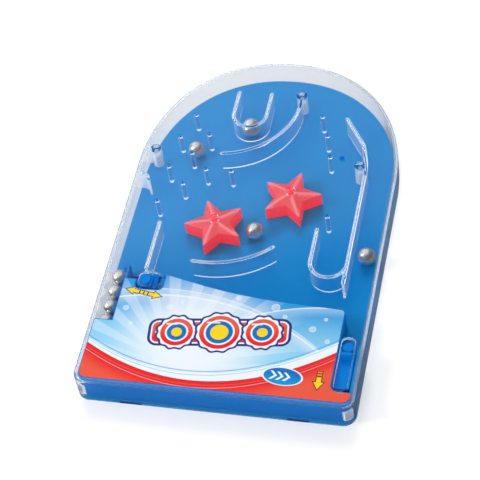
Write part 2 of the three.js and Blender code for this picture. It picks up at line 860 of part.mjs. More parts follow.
// The return spring between the crosswall and its seat, one wire wound round the line of Y
const springSteps = 8;
const springSides = 5;
const springFront = springSeatBack + fitGap + springWireRadius;
const springBack = crosswallFront - fitGap - springWireRadius;
const springPath = Array.from({ length: springTurns * springSteps + 1 }, (_, i) => {
  const turn = (2 * Math.PI * i) / springSteps;
  const along = springBack + ((springFront - springBack) * i) / (springTurns * springSteps);
  const outward = new THREE.Vector3(Math.cos(turn), 0, Math.sin(turn));
  const centre = new THREE.Vector3(plungerMiddle, along, springLevel);
  return { outward, centre: centre.addScaledVector(outward, springRadius) };
});
const springCorners = springPath.flatMap(({ outward, centre }) => {
  const aside = new THREE.Vector3(0, 1, 0);
  return Array.from({ length: springSides }, (_, side) => {
    const turn = (2 * Math.PI * side) / springSides;
    return centre
      .clone()
      .addScaledVector(outward, springWireRadius * Math.cos(turn))
      .addScaledVector(aside, springWireRadius * Math.sin(turn))
      .toArray();
  }).flat();
});
const springFaces = [];
for (let ring = 1; ring < springPath.length; ring += 1) {
  for (let side = 0; side < springSides; side += 1) {
    const here = (ring - 1) * springSides + side;
    const beside = (ring - 1) * springSides + ((side + 1) % springSides);
    springFaces.push(here, beside, beside + springSides);
    springFaces.push(here, beside + springSides, here + springSides);
  }
}
const lastRing = (springPath.length - 1) * springSides;
for (let side = 1; side < springSides - 1; side += 1) {
  springFaces.push(0, side + 1, side);
  springFaces.push(lastRing, lastRing + side, lastRing + side + 1);
}
const plungerSpring = meshOf("plunger_spring", solidFrom(springCorners, springFaces), wire);

// The least gap of the wire to itself, over points at least half a turn apart
const springGaps = springPath.flatMap((here, i) =>
  springPath.slice(i + springSteps / 2).map((there) => here.centre.distanceTo(there.centre)),
);
console.log("least gap in the spring", Math.min(...springGaps) - 2 * springWireRadius);

// The lock: the gate lies in its groove with a finger in the mouth of the store, and the
// button stands on it and shows through the roof
const buttonPlace = new THREE.Vector2(buttonCentre, lockSlot.y);
const gateSolid = join([
  block([fingerPlace.x, gateColumnSpan[1]], gateBarSpan, [gateLow, gateTop]),
  post(fingerPlace, fingerRadius, trayThickness + fitGap, gateTop + fingerHeight),
  block(gateColumnSpan, [gateColumnFront, gateBarSpan[1]], [gateLow, gateTop]),
  post(buttonPlace, pegRadius, gateLow, gateTop + pegHeight, pinSides),
]);
const lockGate = meshOf("lock_gate", gateSolid, blueMoulding);

function buttonPlan(margin) {
  return roundedBox(
    [buttonCentre - buttonWidth / 2 - margin, buttonCentre + buttonWidth / 2 + margin],
    [lockSlot.y - buttonLength / 2 - margin, lockSlot.y + buttonLength / 2 + margin],
    buttonWidth / 2 - fitGap,
  );
}

const buttonTop = caseHeight - buttonSunk;
const flangeTop = roofUnder - runGap;
const dish = new THREE.SphereGeometry(buttonDishRadius, axleSides, axleSides / 2);
dish.translate(buttonCentre, lockSlot.y, buttonTop + buttonDishRadius - buttonDishDepth);
const buttonSolid = join([
  prism(buttonPlan(0), gateTop, buttonTop),
  prism(buttonPlan(buttonFlange), flangeTop - buttonFlangeThickness, flangeTop),
])
  .subtract(post(buttonPlace, pegRadius + fitGap, 0, gateTop + pegHeight + runGap, pinSides))
  .subtract(solidOf(dish));
const lockButton = meshOf("lock_button", buttonSolid, blueMoulding);

// The screws, each driven up from below into a boss of the cover or of the deck
const headLow = screwRecessDepth - fitGap - screwHeadThickness;
const axis = new THREE.Vector2();
const crossCuts = [
  [screwCrossWidth, screwCrossLength],
  [screwCrossLength, screwCrossWidth],
].map(([wide, deep]) =>
  block([-wide / 2, wide / 2], [-deep / 2, deep / 2], [-overrun, headLow + screwCrossDepth]),
);
const screwSolid = post(axis, screwHeadRadius, headLow, headLow + screwHeadThickness)
  .add(post(axis, screwRadius, headLow, screwTop, pinSides))
  .subtract(join(crossCuts));
const screws = new THREE.Group();
coverScrews.forEach((place, i) =>
  screws.add(standAt(meshOf(`cover_screw_${i + 1}`, screwSolid, wire), place)),
);
screws.add(
  standAt(meshOf("deck_screw_left", screwSolid, wire), deckScrewLeft),
  standAt(meshOf("deck_screw_right", screwSolid, wire), deckScrewRight),
);

// The whole game
const housing = new THREE.Group();
housing.add(baseTray, clearCover, frontDeck, labelSheet);
const shooter = new THREE.Group();
shooter.add(plunger, plungerSpring);
const lock = new THREE.Group();
lock.add(lockGate, lockButton);
const game = new THREE.Group();
game.add(housing, spinners, balls, shooter, lock, screws);

export default game;
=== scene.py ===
import json
import math

import bmesh
import bpy
import numpy as np
from mathutils import Matrix, Vector

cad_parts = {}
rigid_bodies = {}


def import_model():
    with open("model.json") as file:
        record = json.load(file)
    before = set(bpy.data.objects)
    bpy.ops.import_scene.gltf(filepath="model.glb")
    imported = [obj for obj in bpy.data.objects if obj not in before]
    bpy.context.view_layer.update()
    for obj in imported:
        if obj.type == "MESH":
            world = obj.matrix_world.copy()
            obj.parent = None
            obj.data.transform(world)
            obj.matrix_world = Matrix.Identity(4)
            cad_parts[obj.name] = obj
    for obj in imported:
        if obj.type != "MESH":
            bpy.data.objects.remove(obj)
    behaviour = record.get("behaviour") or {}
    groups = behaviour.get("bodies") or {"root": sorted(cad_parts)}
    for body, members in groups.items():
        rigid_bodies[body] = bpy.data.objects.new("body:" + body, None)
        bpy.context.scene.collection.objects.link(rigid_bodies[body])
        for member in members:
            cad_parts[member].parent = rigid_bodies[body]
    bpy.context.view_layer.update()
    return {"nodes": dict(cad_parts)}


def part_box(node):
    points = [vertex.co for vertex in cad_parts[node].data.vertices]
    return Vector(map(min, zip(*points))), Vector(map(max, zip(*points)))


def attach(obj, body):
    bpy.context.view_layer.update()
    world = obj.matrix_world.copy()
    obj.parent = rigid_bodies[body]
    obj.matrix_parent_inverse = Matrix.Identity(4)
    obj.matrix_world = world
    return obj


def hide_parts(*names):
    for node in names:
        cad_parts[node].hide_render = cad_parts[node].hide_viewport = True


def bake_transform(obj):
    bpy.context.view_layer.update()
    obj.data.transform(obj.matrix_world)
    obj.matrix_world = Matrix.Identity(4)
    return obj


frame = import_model()
scene = bpy.context.scene

# The photographer's camera: a long lens, high in front of the game and a little to its right,
# rolled by about ten degrees. Its place was fitted to the outline, the stars and the balls.
def placed(name, data, group=scene.collection):
    """A new object with its data, linked into the scene or into a group."""
    made = bpy.data.objects.new(name, data)
    group.objects.link(made)
    return made


camera_place = Vector((0.1962, -0.59503, 0.74402))
camera_right = Vector((0.974154, 0.195226, -0.113626))
camera_up = Vector((-0.0803, 0.769468, 0.633617))
camera_back = Vector((0.21113, -0.608117, 0.765257))
focal_pixels = 1721.4
frame_pixels = 480
camera_data = bpy.data.cameras.new("camera")
camera_data.sensor_width = 36
camera_data.lens = camera_data.sensor_width * focal_pixels / frame_pixels
camera_data.clip_start = 0.05
camera_data.clip_end = 20
camera = placed("camera", camera_data)
turn = Matrix((camera_right, camera_up, camera_back)).transposed().to_4x4()
camera.matrix_world = Matrix.Translation(camera_place) @ turn
scene.camera = camera
scene.view_settings.view_transform = "Standard"

# The studio: a white sweep under a large soft lamp that stands behind the game, and white walls
# that darken towards the floor. A dark card hangs where the flat roof of the cover would mirror
# them, so that the colours below it stay clear, and leaves a faint sheen on its left half.
class Field:
    """A value in a node tree that sums can be written with."""

    def __init__(self, tree, socket):
        self.tree = tree
        self.socket = socket

    def apply(self, operation, *others, clamp=False):
        made = self.tree.nodes.new("ShaderNodeMath")
        made.operation = operation
        made.use_clamp = clamp
        for place, value in enumerate((self, *others)):
            if isinstance(value, Field):
                self.tree.links.new(value.socket, made.inputs[place])
            else:
                made.inputs[place].default_value = value
        return Field(self.tree, made.outputs[0])

    def ramp(self, low, high, first=0.0, last=1.0):
        """A smooth rise from first to last between two values."""
        ends = {"From_Min": low, "From_Max": high, "To_Min": first, "To_Max": last}
        made = added(self.tree, "ShaderNodeMapRange", Value=self, **ends)
        made.interpolation_type = "SMOOTHSTEP"
        return Field(self.tree, made.outputs["Result"])

    def clamped(self):
        """The value, kept between zero and one."""
        return self.apply("ADD", 0, clamp=True)

    def __add__(self, other):
        return self.apply("ADD", other)

    def __sub__(self, other):
        return self.apply("SUBTRACT", other)

    def __mul__(self, other):
        return self.apply("MULTIPLY", other)

    def __truediv__(self, other):
        return self.apply("DIVIDE", other)

    def __neg__(self):
        return self.apply("MULTIPLY", -1)

    def __rsub__(self, other):
        return -self + other

    def __abs__(self):
        return self.apply("ABSOLUTE")


def wired(node, **inputs):
    """Fills a node's inputs, each given by its name: a link to an output, or a value."""
    links = node.id_data.links
    for name, value in inputs.items():
        socket = node.inputs[name.replace("_", " ")]
        if isinstance(value, Field):
            links.new(value.socket, socket)
        elif isinstance(value, bpy.types.NodeSocket):
            links.new(value, socket)
        else:
            socket.default_value = value
    return node


def added(tree, kind, **inputs):
    """A new node with its inputs filled."""
    return wired(tree.nodes.new(kind), **inputs)


def mixed(tree, amount, first, last):
    """A shader that goes from one to another."""
    made = added(tree, "ShaderNodeMixShader", Fac=amount)
    tree.links.new(first.outputs[0], made.inputs[1])
    tree.links.new(last.outputs[0], made.inputs[2])
    return made


def axes_of(tree, vector):
    """The three parts of a vector, as Fields."""
    split = added(tree, "ShaderNodeSeparateXYZ", Vector=vector)
    return [Field(tree, split.outputs[axis]) for axis in "XYZ"]


def any_ray(tree, *kinds):
    """One where the ray is of any of these kinds, and else zero."""
    rays = tree.nodes.new("ShaderNodeLightPath").outputs
    found, *others = (Field(tree, rays[f"Is {kind} Ray"]) for kind in kinds)
    for other in others:
        found = found.apply("MAXIMUM", other)
    return found


def thrown_back(tree):
    """One for rays mirrored by an outer face, and one for rays that were also mirrored by
    something inside or behind the clear plastic."""
    crossed = any_ray(tree, "Transmission")
    path = tree.nodes.new("ShaderNodeLightPath")
    inside = Field(tree, path.outputs["Glossy Depth"]).apply("MINIMUM", 1) * crossed
    return any_ray(tree, "Glossy") * (1 - crossed), inside


world = bpy.data.worlds.new("studio")
scene.world = world
world.use_nodes = True
sky = world.node_tree
sky.nodes.clear()
x, y, z = axes_of(sky, sky.nodes.new("ShaderNodeTexCoord").outputs["Generated"])
walls = z.ramp(0.05, 0.6, 0.45, 1.0)
aside = x / y.apply("MAXIMUM", 0.1)
card = aside.ramp(-0.66, -0.58) * aside.ramp(-0.12, 0.0, 1, 0)
card = card * z.ramp(0.62, 0.68) * z.ramp(0.85, 0.89, 1, 0)
sheen = aside.ramp(-0.37, -0.27, 0.3, 0.0) * z.ramp(0.775, 0.79, 1, 0)
mirrored, inside = thrown_back(sky)
rest_level = 0.6
soft = (x * -0.45 + y * 0.35 + z * 0.8).ramp(0.4, 0.95, 0.1, 1.4)
soft = soft * (1 - card * z.ramp(0.75, 0.785))
level = mirrored * (walls * (1 - card) + card * sheen) + inside * soft
level = level + (1 - mirrored - inside) * rest_level
room = added(sky, "ShaderNodeBackground", Color=(0.97, 0.985, 1, 1), Strength=level)
white = added(sky, "ShaderNodeBackground", Color=(1, 1, 1, 1))
straight = any_ray(sky, "Camera", "Transmission") - inside
chosen = mixed(sky, straight, room, white)
added(sky, "ShaderNodeOutputWorld", Surface=chosen.outputs[0])


def soft_lamp(name, place, size, energy, reflected):
    """A square soft lamp that faces the game."""
    data = bpy.data.lights.new(name, "AREA")
    data.size = size
    data.energy = energy
    lamp = placed(name, data)
    lamp.location = place
    lamp.rotation_euler = Vector(place).to_track_quat("Z", "Y").to_euler()
    lamp.visible_glossy = reflected
    lamp.visible_transmission = reflected


soft_lamp("back_lamp", (-0.25, 0.85, 0.9), 0.55, 7.5, False)
soft_lamp("side_lamp", (-0.9, -0.3, 0.75), 0.3, 5, True)
soft_lamp("front_lamp", (0.1, -1.1, 0.45), 0.6, 3.5, False)

# The floor is the sweep's white paper. It keeps the game's shadow. What the plastic mirrors of
# it has a painted shadow close to the game: for mirrored rays the paper is drawn darker there,
# whatever the lamps do.
floor_half = 3
paper_white = 0.72
paper_shade = 0.64


def oblong(left, right, front, back):
    """The four corners of an upright rectangle, as a plan."""
    return [(left, front), (right, front), (right, back), (left, back)]


floor_corners = [(x, y, 0) for x, y in oblong(-floor_half, floor_half, -floor_half, floor_half)]
floor_mesh = bpy.data.meshes.new("floor")
floor_mesh.from_pydata(floor_corners, [], [(0, 1, 2, 3)])
floor = placed("floor", floor_mesh)
floor_paint = bpy.data.materials.new("white_sweep")
floor_paint.use_nodes = True
tree = floor_paint.node_tree
tree.nodes.clear()
place = tree.nodes.new("ShaderNodeTexCoord").outputs["Object"]
reach = added(tree, "ShaderNodeVectorMath", Vector=place)
reach.operation = "LENGTH"
x, y, z = axes_of(tree, place)
# Painted shadow: the mirrored paper is darker near the middle of the game, and for light thrown
# about inside the plastic, beside its right side and ahead of its front.
beside = x.ramp(0.074, 0.08, 0, 0.85)
ahead = y.ramp(-0.115, -0.1, 0.85, 0) * x.ramp(-0.078, -0.066)
mirrored, inside = thrown_back(tree)
mirrored = mirrored + inside * ahead.apply("MAXIMUM", beside)
under = Field(tree, reach.outputs["Value"]).ramp(0.16, 0.3, 1, 0) * mirrored
light = paper_white - under * paper_shade
grey = added(tree, "ShaderNodeCombineColor", Red=light, Green=light, Blue=light)
paper = added(tree, "ShaderNodeBsdfDiffuse", Color=grey.outputs[0])
seen = any_ray(tree, "Camera") * 0.2 + any_ray(tree, "Camera", "Transmission", "Glossy") * 0.08
glow = added(tree, "ShaderNodeEmission", Strength=seen * (1 - under))
both = tree.nodes.new("ShaderNodeAddShader")
tree.links.new(paper.outputs[0], both.inputs[0])
tree.links.new(glow.outputs[0], both.inputs[1])
added(tree, "ShaderNodeOutputMaterial", Surface=both.outputs[0])
floor_mesh.materials.append(floor_paint)

# The base tray is injection-moulded in blue polystyrene: a thin satin playfield with shallow
# pockets and ribs below, round seats for the screws and the star axles, and the plunger's
# guide. Everything else stands on it or is screwed to it.
MM = 0.001


def new_paint(name):
    """A material with one Principled shader, and its node tree."""
    paint = bpy.data.materials.new(name)
    paint.use_nodes = True
    tree = paint.node_tree
    return paint, tree, tree.nodes["Principled BSDF"]


def object_place(tree):
    """Object coordinates in millimetres."""
    place = tree.nodes.new("ShaderNodeTexCoord").outputs["Object"]
    scaled = tree.nodes.new("ShaderNodeVectorMath")
    scaled.operation = "SCALE"
    return wired(scaled, Vector=place, Scale=1 / MM).outputs[0]


def noise(tree, place, size, detail=2.0, roughness=0.5):
    """Noise with blotches of a size in millimetres, as a Field."""
    made = added(tree, "ShaderNodeTexNoise", Vector=place, Scale=1 / size)
    wired(made, Detail=detail, Roughness=roughness)
    return Field(tree, made.outputs["Fac"])


def blend_colours(amount, first, second):
    """A colour between two, each a colour or the output of a node."""
    made = amount.tree.nodes.new("ShaderNodeMix")
    made.data_type = "RGBA"
    amount.tree.links.new(amount.socket, made.inputs[0])
    for socket, value in ((made.inputs[6], first), (made.inputs[7], second)):
        if isinstance(value, tuple):
            socket.default_value = (*value, 1)
        else:
            amount.tree.links.new(value, socket)
    return made.outputs[2]


def bumped(shader, height, distance):
    """Relief on a shader from a Field, with its depth in metres."""
    bump = added(height.tree, "ShaderNodeBump", Height=height, Distance=distance, Strength=1)
    wired(shader, Normal=bump.outputs["Normal"])


def moulded_paint(name, deep, light, roughness, gloss_level, grain=0.22, depth=4e-6):
    """Injection-moulded plastic: a fine spark-eroded grain, slow sink marks, and a colour that
    drifts a little with the flow of the melt."""
    paint, tree, shader = new_paint(name)
    place = object_place(tree)
    drift = noise(tree, place, 24, 3)
    streak = noise(tree, place, 3.5, 4, 0.6)
    fine = noise(tree, place, grain, 2, 0.7)
    flow = (drift * 0.7 + streak * 0.3 - 0.5) * 1.6 + 0.5
    colour = blend_colours(flow.clamped(), deep, light)
    gloss = fine * 0.1 + streak * 0.08 + (roughness - 0.09)
    wired(shader, Base_Color=colour, Roughness=gloss)
    wired(shader, IOR=1.5, Specular_IOR_Level=gloss_level)
    bumped(shader, fine + drift * 6, depth)
    return paint


def plain_mesh(piece):
    """Turns what a piece's modifiers make into its own mesh, and drops the modifiers."""
    bpy.context.view_layer.update()
    made = piece.evaluated_get(bpy.context.evaluated_depsgraph_get())
    mesh = bpy.data.meshes.new_from_object(made)
    piece.modifiers.clear()
    piece.data = mesh
    mesh.name = piece.name


def shade(mesh, limit):
    """Smooth shading, with flat level faces and corners over a limit in degrees kept crisp."""
    work = bmesh.new()
    work.from_mesh(mesh)
    for face in work.faces:
        face.smooth = True
    for edge in work.edges:
        if len(edge.link_faces) == 2:
            level = [abs(face.normal.z) > 0.99999 for face in edge.link_faces]
            fold = edge.calc_face_angle(0)
            edge.smooth = fold < math.radians(limit) and level[0] == level[1]
    work.to_mesh(mesh)
    work.free()


def finished(piece, paint, body, replaced, limit=35):
    """Makes a piece a plain shaded mesh, in place of CAD nodes, and ties it to its body."""
    plain_mesh(piece)
    shade(piece.data, limit)
    if paint is not None:
        piece.data.materials.clear()
        piece.data.materials.append(paint)
    if body:
        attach(piece, body)
    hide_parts(*replaced)


def moulded(node, width, paint, body, segments=2):
    """A copy of a CAD solid in its place, with its sharp edges rounded as a mould leaves them."""
    mesh = frame["nodes"][node].data.copy()
    work = bmesh.new()
    work.from_mesh(mesh)
    bmesh.ops.remove_doubles(work, verts=work.verts, dist=1e-6)
    flat = math.radians(0.3)
    bmesh.ops.dissolve_limit(work, angle_limit=flat, verts=work.verts, edges=work.edges)
    work.to_mesh(mesh)
    work.free()
    piece = placed(node + "_moulded", mesh)
    bevel = piece.modifiers.new("edges", "BEVEL")
    bevel.width = width
    bevel.segments = segments
    bevel.limit_method = "ANGLE"
    bevel.angle_limit = math.radians(40)
    bevel.use_clamp_overlap = True
    finished(piece, paint, body, [node])


blue_deep = (0.0012, 0.205, 0.53)
blue_light = (0.0025, 0.235, 0.58)
blue_plastic = moulded_paint("blue_plastic", blue_deep, blue_light, 0.38, 0.15)
moulded("base_tray", 0.2 * MM, blue_plastic, "case")

# The front deck is a second blue moulding, a hollow block under the label with the wall of the
# ball store at its left. It stands on the tray and is screwed to it from below.
deck_blue = moulded_paint("deck_blue", (0.0005, 0.165, 0.56), (0.001, 0.185, 0.6), 0.4, 0.1)
moulded("front_deck", 0.25 * MM, deck_blue, "case")

# The clear cover is one moulding of clear polystyrene: a flat roof with a round edge and a side
# wall, and the pins, rails, bosses and corner posts that just clear the playfield. Screws from
# below hold it by three of the bosses.
cover_low, cover_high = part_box("clear_cover")
half_width, half_length, case_height = (reach / MM for reach in cover_high)
foot = cover_low.z / MM
arch_rise = 87.5
arch_power = 2.16
arch_start = half_length - arch_rise
front_corner = 7
least_corner = 0.8
wall = 1.8
roof_under = case_height - wall
edge_round = 2.4
inner_round = 0.7
foot_round = 0.25
playfield = 3
tip_level = 3.4


def heading(angle):
    """The direction that an angle in degrees points in."""
    return math.cos(math.radians(angle)), math.sin(math.radians(angle))


def corner_arc(centre, radius, start, sweep, steps):
    """Points on an arc, from an angle in degrees and through a sweep."""
    turns = [heading(start + sweep * i / steps) for i in range(steps + 1)]
    return [(centre[0] + radius * c, centre[1] + radius * s) for c, s in turns]


def circle(radius, steps=48, centre=(0, 0)):
    """The plan of something round."""
    return corner_arc(centre, radius, 0, 360, steps)[:-1]


def round_bar(radius, steps=48, centre=(0, 0)):
    """What gives the plan of a round bar, a distance inside its side."""
    return lambda inset: circle(radius - inset, steps, centre)


def bearing(x, y):
    """The angle of a direction, in degrees."""
    return math.degrees(math.atan2(y, x))


def case_outline(inset, arch_steps=176, corner_steps=14):
    """The case seen from above, a distance inside its outer face."""
    points = []
    for i in range(arch_steps + 1):
        c, s = math.cos(math.pi * i / arch_steps), math.sin(math.pi * i / arch_steps)
        side = math.copysign(abs(c) ** (2 / arch_power), c)
        rise = abs(s) ** (2 / arch_power)
        points.append(((half_width - inset) * side, arch_start + (arch_rise - inset) * rise))
    radius = max(front_corner - inset, least_corner)
    reach = half_width - inset - radius
    front = -half_length + inset + radius
    points += corner_arc((-reach, front), radius, 180, 90, corner_steps)
    points += corner_arc((reach, front), radius, 270, 90, corner_steps)
    return points


def strip(line, half):
    """The plan of a rail: a line of points with a half width and round ends."""
    line = [np.array(p, float) for p in line]
    sides = []
    for i in range(len(line)):
        along = line[min(i + 1, len(line) - 1)] - line[max(i - 1, 0)]
        along /= np.hypot(*along)
        sides.append(np.array([along[1], -along[0]]) * half)
    right = [p + s for p, s in zip(line, sides)]
    left = [p - s for p, s in zip(line, sides)]
    end = corner_arc(line[-1], half, bearing(*sides[-1]), 180, 8)[1:-1]
    start = corner_arc(line[0], half, bearing(*sides[0]) + 180, 180, 8)[1:-1]
    return [tuple(p) for p in [*right, *end, *reversed(left), *start]]


def stacked(name, rings, group=scene.collection, bored=False):
    """A closed solid through level rings of equally many points, in millimetres. A bored one
    runs from its last ring back to its first instead of having ends."""
    count = len(rings[0][0])
    corners = [(x * MM, y * MM, z * MM) for plan, z in rings for x, y in plan]
    faces = []
    for ring in range(len(rings) - 1):
        for i in range(count):
            a, b = ring * count + i, ring * count + (i + 1) % count
            faces.append((a, b, b + count, a + count))
    top = (len(rings) - 1) * count
    if bored:
        faces += [(top + i, top + (i + 1) % count, (i + 1) % count, i) for i in range(count)]
    else:
        faces.append(tuple(reversed(range(count))))
        faces.append(tuple(range(top, top + count)))
    mesh = bpy.data.meshes.new(name)
    mesh.from_pydata(corners, [], faces)
    work = bmesh.new()
    work.from_mesh(mesh)
    bmesh.ops.recalc_face_normals(work, faces=work.faces)
    work.to_mesh(mesh)
    work.free()
    return placed(name, mesh, group)


def low_edge(plan_at, level, radius, steps):
    """The rings of a rounded lower edge, from the flat face out to the side."""
    turns = [heading(90 * i / steps) for i in range(steps + 1)]
    return [(plan_at(radius * (1 - s)), level + radius * (1 - c)) for c, s in turns]


def high_edge(plan_at, level, radius, steps):
    """The rings of a rounded upper edge, from the side in to the flat face."""
    turns = [heading(90 * i / steps) for i in range(steps + 1)]
    return [(plan_at(radius * (1 - c)), level - radius * (1 - s)) for c, s in turns]


def hanging(name, plan_at, low, tip_round, root_round=0, draft=0, high=None):
    """Something that hangs from the roof: a rounded tip, a slight taper and a root fillet. One
    with a high level stops short of the roof there."""
    rings = low_edge(lambda inset: plan_at(inset + draft), low, tip_round, 5)
    if high is not None:
        return stacked(name, rings + high_edge(plan_at, high, tip_round, 4), hangers)
    if root_round:
        rings += high_edge(lambda inset: plan_at(-inset), roof_under, root_round, 4)
    rings.append((plan_at(-root_round), roof_under + wall / 2))
    return stacked(name, rings, hangers)


def straight_sided(name, plan, low, high, group=scene.collection):
    """A closed solid with upright sides."""
    return stacked(name, [(plan, low), (plan, high)], group)


def spot(across, along):
    """A place given as shares of the case's half width and half length."""
    return across * half_width, along * half_length


def clear_paint(name, tint, body, painted_white_ramp, deep, waviness, inside=False, glow=None):
    """Clear polystyrene. Lamps and bounced light pass straight through it with a slight tint,
    and what the camera and the gloss see is bent and reflected as in the real moulding. Faces
    seen edge-on are painted milky white, a painted highlight along edges: from, to and how
    much; a ramp that starts below zero paints every face white. Light that has been thrown
    about inside the plastic ends in a painted colour, deep, that stands in for the light or
    shade it would meet there. A glow is painted light: a colour and its strength."""
    paint, tree, shader = new_paint(name)
    # Painted highlight: faces seen edge-on are painted milky white.
    edge_on = added(tree, "ShaderNodeLayerWeight", Blend=0.5)
    low, high, most = painted_white_ramp
    painted_white = Field(tree, edge_on.outputs["Facing"]).ramp(low, high, 0, most)
    if not inside:
        behind = tree.nodes.new("ShaderNodeNewGeometry")
        painted_white = painted_white * (1 - Field(tree, behind.outputs["Backfacing"]))
    path = tree.nodes.new("ShaderNodeLightPath")
    # Painted light or shade: rays mirrored inside three times or more end in the deep colour.
    trapped = Field(tree, path.outputs["Glossy Depth"]).ramp(2, 3, 0, 0.8)
    painted_white = painted_white.apply("MAXIMUM", trapped)
    whiter = (painted_white * (1 / max(most, 0.01))).clamped()
    colour = blend_colours(whiter, body, (0.95, 0.97, 1))
    colour = blend_colours(trapped, colour, deep)
    place = object_place(tree)
    scuff = noise(tree, place, 5, 5, 0.7) - 0.55
    rough = scuff.apply("MULTIPLY", 0.5, clamp=True) + 0.015
    wired(shader, Base_Color=colour, Roughness=rough, Transmission_Weight=1 - painted_white)
    wired(shader, IOR=1.55, Specular_Tint=(0.5, 0.57, 0.65, 1))
    bumped(shader, noise(tree, place, 9, 1), waviness)
    if glow:
        wired(shader, Emission_Color=(*glow[0], 1), Emission_Strength=glow[1])
    through = added(tree, "ShaderNodeBsdfTransparent", Color=(*tint, 1))
    bounced = mixed(tree, any_ray(tree, "Diffuse"), shader, through)
    lit = mixed(tree, any_ray(tree, "Shadow"), bounced, through)
    wired(tree.nodes["Material Output"], Surface=lit.outputs[0])
    return paint


def new_tree(name, output, **inputs):
    """A Geometry Nodes tree with named inputs, and those inputs to link from."""
    tree = bpy.data.node_groups.new(name, "GeometryNodeTree")
    for key, kind in inputs.items():
        key = key.replace("_", " ")
        tree.interface.new_socket(name=key, in_out="INPUT", socket_type="NodeSocket" + kind)
    tree.interface.new_socket(name=output, in_out="OUTPUT", socket_type="NodeSocketGeometry")
    return tree, tree.nodes.new("NodeGroupInput").outputs


def end_tree(tree, made, finish):
    """Ends a tree: its instances are made real and take their finish."""
    real = added(tree, "GeometryNodeRealizeInstances", Geometry=made)
    painted = added(tree, "GeometryNodeSetMaterial", Material=finish)
    wired(painted, Geometry=real.outputs["Geometry"])
    way_out = tree.nodes.new("NodeGroupOutput")
    tree.links.new(painted.outputs["Geometry"], way_out.inputs[0])


def made_by(piece, tree, **values):
    """Puts a tree on a piece as a modifier, each of its inputs set by its identifier."""
    maker = piece.modifiers.new(tree.name, "NODES")
    maker.node_group = tree
    keys = {item.name: item.identifier for item in tree.interface.items_tree}
    for name, value in values.items():
        maker[keys[name.replace("_", " ")]] = value


copies, given = new_tree("copies", "Copies", Places="Geometry", Part="Object", Finish="Material")
part_info = added(copies, "GeometryNodeObjectInfo", Object=given["Part"])
spread = added(copies, "GeometryNodeInstanceOnPoints", Points=given["Places"])
wired(spread, Instance=part_info.outputs["Geometry"])
end_tree(copies, spread.outputs["Instances"], given["Finish"])


def repeated(name, part, places, paint, group=None):
    """Copies of a part at places in millimetres, as one plain mesh."""
    points = bpy.data.meshes.new(name)
    points.from_pydata([(x * MM, y * MM, 0) for x, y in places], [], [])
    piece = placed(name, points)
    made_by(piece, copies, Part=part, Finish=paint)
    plain_mesh(piece)
    bpy.data.objects.remove(part)
    if group:
        scene.collection.objects.unlink(piece)
        group.objects.link(piece)
    return piece


def carved(piece, **changes):
    """Joins groups of solids to a piece, or cuts them out of it, and clears them away. Each
    solid leaves its paint on the faces that come from it."""
    for operation, group in changes.items():
        change = piece.modifiers.new(group.name, "BOOLEAN")
        change.operation = operation
        change.operand_type = "COLLECTION"
        change.collection = group
        change.solver = "EXACT"
        change.material_mode = "TRANSFER"
    plain_mesh(piece)
    for group in changes.values():
        for solid in list(group.objects):
            bpy.data.objects.remove(solid)
        bpy.data.collections.remove(group)


# Painted light in the clear paints: the sheet, rails and pins are painted white where seen
# edge-on, as highlight lines; the bosses, the rails at the wall, the corner posts, the tips and
# the root fillets are painted white all over, as glints; light trapped inside ends in pale white
# as a painted highlight, or in dark blue as painted shade in the pins, slots and dimples.
sheet_tint = (0.97, 0.98, 0.99)
sheet_body = (0.93, 0.94, 0.95)
bar_tint = (0.78, 0.87, 0.95)
boss_body = (0.85, 0.93, 1)
pin_body = (0.6, 0.8, 0.94)
pale = (0.9, 0.95, 1)
dark_blue = (0.003, 0.1, 0.4)
painted_axle_red = (0.6, 0.02, 0.03)
no_painted_white = (0.9, 1, 0)
painted_white_all = (-1, 0, 0.7)
# A painted glow for the rounded tips of the pins and rails, standing for light piped down them.
painted_tip_glow = ((0.93, 0.97, 1), 0.55)
painted_red_glow = ((0.95, 0.02, 0.04), 0.3)
clear_sheet = clear_paint("clear_plastic", sheet_tint, sheet_body, (0.8, 1, 0.45), pale, 6e-6)
clear_slots = clear_paint("clear_slots", sheet_tint, sheet_body, no_painted_white, dark_blue, 6e-6)
clear_rails = clear_paint("clear_rails", bar_tint, (0.86, 0.94, 0.98), (0.5, 1, 0.5), pale, 3e-6)
# The pins are tinted blue and light trapped in them ends in dark blue, as painted shade for the
# dark disc seen at each root.
clear_pins = clear_paint("clear_pins", bar_tint, pin_body, (0.3, 1, 0.5), dark_blue, 3e-6)
clear_roots = clear_paint("clear_roots", bar_tint, (0.02, 0.3, 0.72), no_painted_white, dark_blue, 2e-6)
clear_tips = clear_paint("clear_tips", bar_tint, pale, painted_white_all, pale, 2e-6, True, painted_tip_glow)
# The axles' pink tint, dark red and glow are painted light: the star's red seen in them.
clear_axles = clear_paint(
    "clear_axles", bar_tint, (0.95, 0.6, 0.62), no_painted_white, painted_axle_red, 2e-6, glow=painted_red_glow
)
clear_bosses = clear_paint("clear_bosses", bar_tint, boss_body, (-1, 0, 0.65), pale, 2e-5)
clear_edges = clear_paint("clear_edges", bar_tint, pale, painted_white_all, pale, 2e-6, True)
hangers = bpy.data.collections.new("hangers")
cutters = bpy.data.collections.new("cutters")

pin_places = [spot(*shares) for shares in (
    (-0.653, 0.611), (-0.727, 0.461), (-0.503, 0.486), (-0.6, 0.363), (-0.749, 0.266),
    (-0.457, 0.266), (-0.259, 0.266), (-0.603, 0.167), (-0.761, 0.048), (0.345, 0.653),
    (0.415, 0.53), (0.472, 0.397), (0.547, 0.032),
)]
pin_radius, pin_round, pin_draft = 1.5, 0.7, 0.12
pin = hanging("pin", round_bar(pin_radius, 40), tip_level, pin_round, 0, pin_draft)
repeated("pins", pin, pin_places, clear_pins, hangers)
